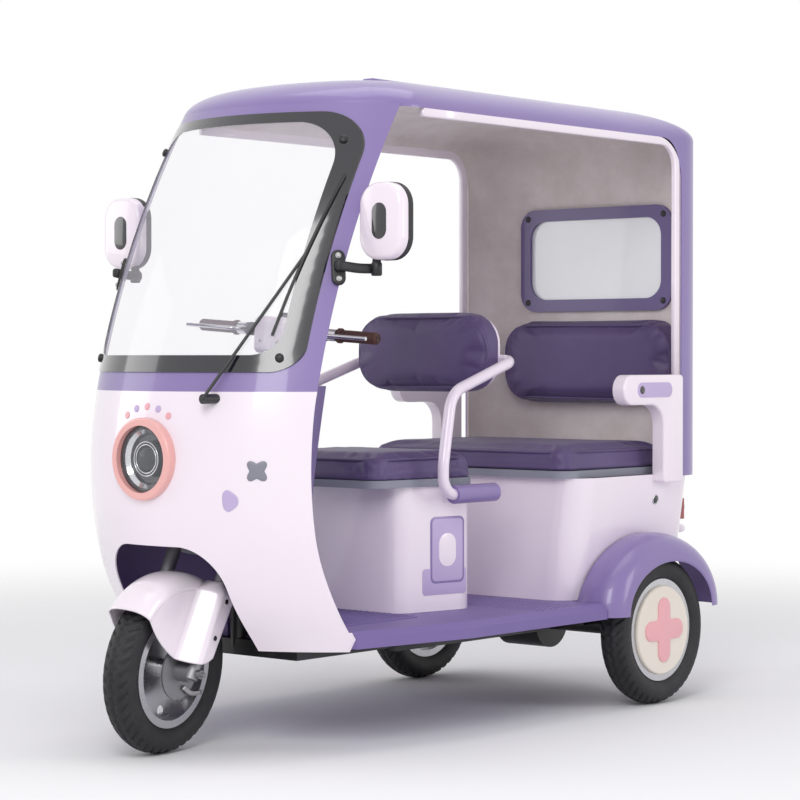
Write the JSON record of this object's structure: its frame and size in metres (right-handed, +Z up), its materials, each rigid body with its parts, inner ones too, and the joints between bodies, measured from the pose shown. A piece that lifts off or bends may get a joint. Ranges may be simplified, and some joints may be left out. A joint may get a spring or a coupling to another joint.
{
  "type": "covered electric tricycle",
  "caption": "Covered electric tricycle with a bowed windshield, tipping driver and rear seats over storage, one steered front wheel and two rear wheels.",
  "frame": {"origin": "on the ground under the middle of the vehicle", "axes": "+Z up, -Y forward, +X towards the vehicle's left side"},
  "size_m": [1.046, 2.179, 1.6899],
  "materials": {
    "frame_black": "satin",
    "panel_purple": "satin gloss",
    "panel_white": "gloss",
    "tube_white": "gloss",
    "mirror_white": "gloss",
    "seat_cover": "soft matte",
    "rim_grey": "matte",
    "lamp_ring": "gloss",
    "lamp_glass": "clear",
    "tail_red": "gloss",
    "battery_black": "matte",
    "screen_black": "gloss",
    "screen_clear": "clear",
    "liner_beige": "woven matte",
    "tyre_black": "matte",
    "rim_silver": "satin",
    "bar_chrome": "polished",
    "grip_brown": "matte",
    "cover_cream": "satin"
  },
  "bodies": {
    "chassis": {"chassis_frame": "frame_black", "rear_axle": "frame_black", "floor_board": "panel_purple", "front_cowl": "panel_white", "knee_panel": "panel_purple", "rear_tub": "panel_white", "driver_seat_box": "panel_white", "rear_guard": "tube_white", "wiper": "frame_black", "tail_lamps": "tail_red", "battery_block": "battery_black", "headlamp_ring": "lamp_ring", "headlamp_lens": "lamp_glass", "windshield_frame": "panel_purple", "windshield_border": "screen_black", "windshield_pane": "screen_clear", "roof_shell": "panel_purple", "rear_shell": "panel_purple", "cabin_liner": "liner_beige", "side_trims": "panel_white", "rear_window_frame": "panel_purple", "rear_window_glass": "screen_clear", "rear_backrest": "seat_cover", "driver_backrest": "seat_cover", "backrest_hoop": "tube_white", "rear_fenders": "panel_purple", "mirror_left": "mirror_white", "mirror_right": "mirror_white"},
    "steering": {"fork": "rim_silver", "front_fender": "panel_white", "handlebar": "bar_chrome", "grips": "grip_brown", "headset_cover": "panel_white"},
    "front_wheel": {"front_tyre": "tyre_black", "front_rim": "rim_silver"},
    "rear_wheel_left": {"rear_tyre_left": "tyre_black", "rear_rim_left": "rim_silver", "wheel_cover_left": "cover_cream"},
    "rear_wheel_right": {"rear_tyre_right": "tyre_black", "rear_rim_right": "rim_silver", "wheel_cover_right": "cover_cream"},
    "driver_seat_lid": {"driver_seat_rim": "rim_grey", "driver_seat_cushion": "seat_cover"},
    "rear_seat_lid": {"rear_seat_rim": "rim_grey", "rear_seat_cushion": "seat_cover"}
  },
  "joints": [
    {"name": "steering_turn", "type": "hinge", "parent": "chassis", "child": "steering", "pos_m": [0, -0.682, 0.52663], "axis": [0, 0.4226, 0.9063], "range_deg": [-50, 30]},
    {"name": "front_wheel_spin", "type": "hinge", "parent": "steering", "child": "front_wheel", "pos_m": [0.00781, -0.87938, 0.20821], "axis": [0.9848, 0.1574, -0.0734], "continuous": true},
    {"name": "rear_wheel_left_spin", "type": "hinge", "parent": "chassis", "child": "rear_wheel_left", "pos_m": [0.425, 0.615, 0.2085], "axis": [1, 0, 0], "continuous": true},
    {"name": "rear_wheel_right_spin", "type": "hinge", "parent": "chassis", "child": "rear_wheel_right", "pos_m": [-0.425, 0.615, 0.2085], "axis": [1, 0, 0], "continuous": true},
    {"name": "driver_seat_tip", "type": "hinge", "parent": "chassis", "child": "driver_seat_lid", "pos_m": [0, -0.234, 0.626], "axis": [1, 0, 0], "range_deg": [0, 65]},
    {"name": "rear_seat_tip", "type": "hinge", "parent": "chassis", "child": "rear_seat_lid", "pos_m": [0, 0.81, 0.64], "axis": [-1, 0, 0], "range_deg": [0, 65]}
  ]
}
